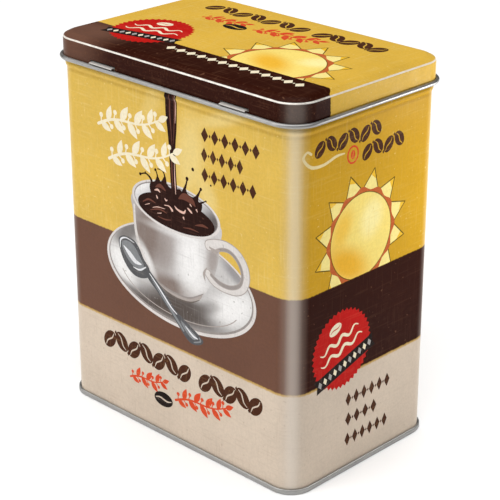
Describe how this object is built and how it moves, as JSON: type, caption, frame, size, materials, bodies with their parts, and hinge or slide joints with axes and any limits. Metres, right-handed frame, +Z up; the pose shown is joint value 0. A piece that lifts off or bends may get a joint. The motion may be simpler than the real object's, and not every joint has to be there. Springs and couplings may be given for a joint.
{
  "type": "coffee tin",
  "caption": "Tall rectangular printed storage tin with rounded corners, a seamed bottom and a slip lid hinged on one long side.",
  "frame": {"origin": "centre of the tin's underside, on the surface it stands on", "axes": "+Z up to the lid, X along the long sides, -Y towards the hinge side"},
  "size_m": [0.1604, 0.1034, 0.19],
  "materials": {
    "printed_wall": "lithographed tinplate in yellow, dark brown and cream bands under satin lacquer",
    "printed_lid": "lithographed tinplate, yellow with a dark brown band on the hinge side, under satin lacquer",
    "bare_tinplate": "bare bright tinplate"
  },
  "bodies": {
    "body": {"body_wall": "printed_wall", "bottom_end": "bare_tinplate"},
    "lid": {"lid": "printed_lid"}
  },
  "joints": [
    {"name": "lid_hinge", "type": "hinge", "parent": "body", "child": "lid", "pos_m": [0, -0.05065, 0.1783], "axis": [1, 0, 0], "range_deg": [0, 110]}
  ]
}
